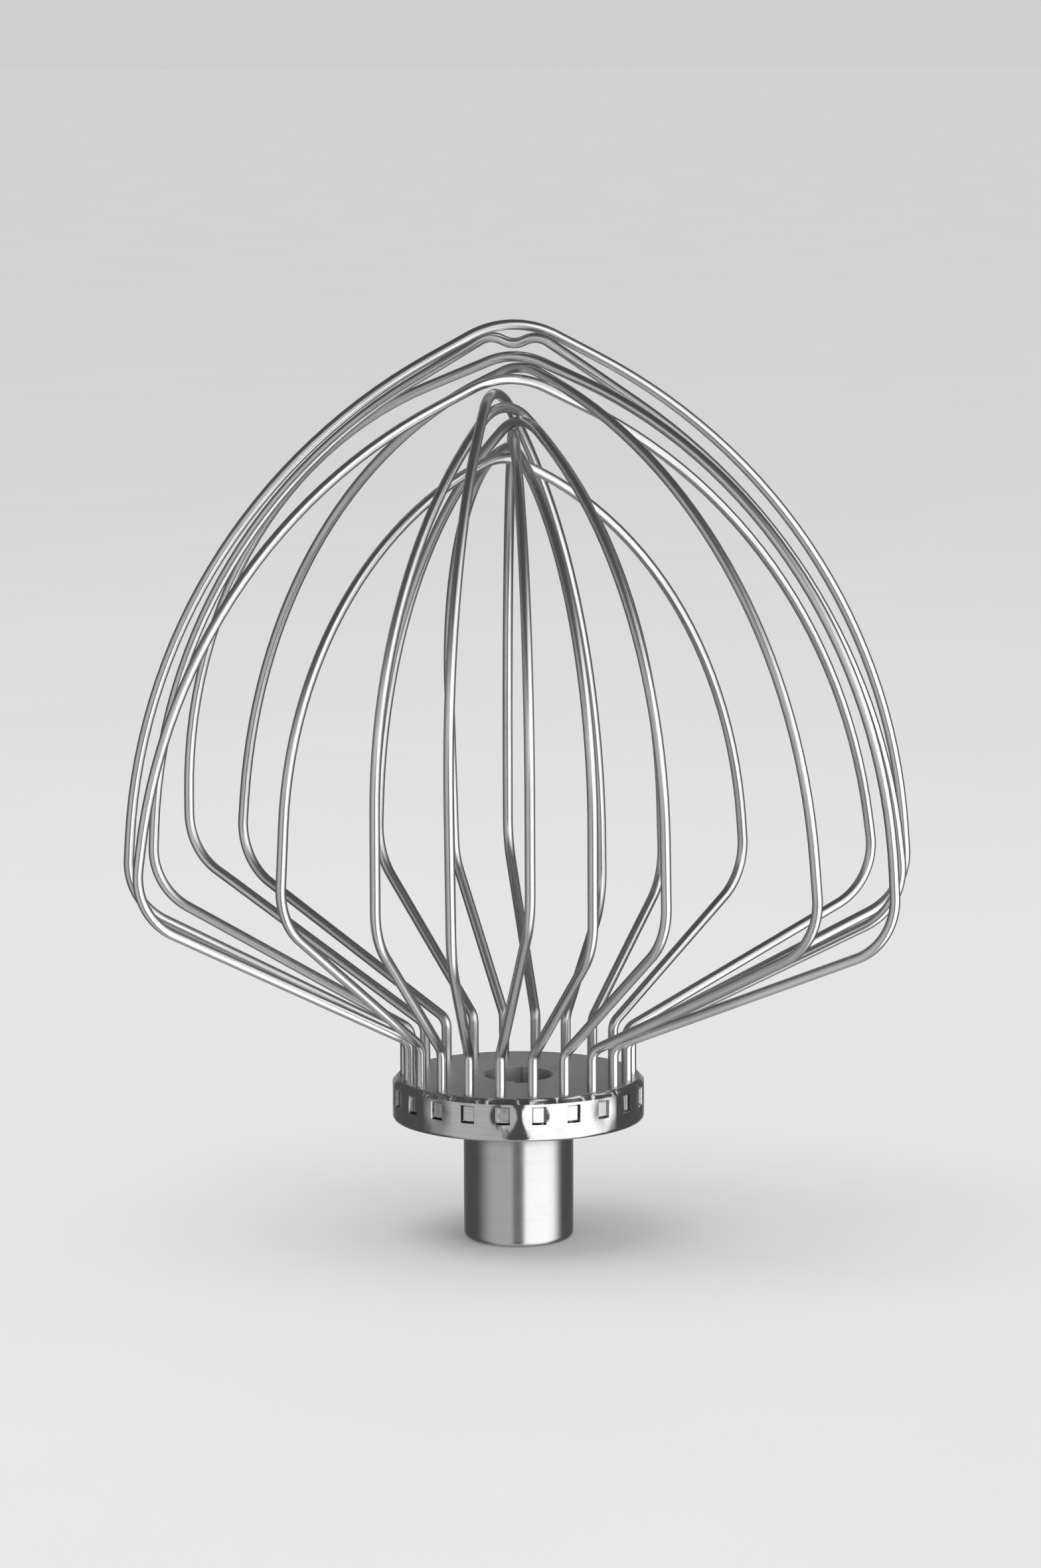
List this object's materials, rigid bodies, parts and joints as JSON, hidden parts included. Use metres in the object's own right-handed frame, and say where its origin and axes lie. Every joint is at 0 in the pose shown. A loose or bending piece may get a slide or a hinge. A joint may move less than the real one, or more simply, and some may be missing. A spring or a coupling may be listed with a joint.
{
  "type": "stand mixer wire whisk",
  "caption": "Balloon wire whisk for a stand mixer: crossed wire loops crimped into a flanged hub with a hollow drive shank.",
  "frame": {"origin": "centre of the drive bore at the open end of the shank", "axes": "+Z along the whisk axis from the shank towards the tip of the wire cage, +X along the wide side of the cage, -Y the front"},
  "size_m": [0.1566, 0.1048, 0.1838],
  "materials": {
    "hub_steel": "turned and polished stainless steel, satin shank and bright rim",
    "wire_steel": "bright drawn stainless steel wire"
  },
  "bodies": {
    "root": {"shank": "hub_steel", "flange": "hub_steel", "wire_01": "wire_steel", "wire_02": "wire_steel", "wire_03": "wire_steel", "wire_04": "wire_steel", "wire_05": "wire_steel", "wire_06": "wire_steel", "wire_07": "wire_steel", "wire_08": "wire_steel", "wire_09": "wire_steel", "wire_10": "wire_steel", "wire_11": "wire_steel"}
  },
  "joints": []
}
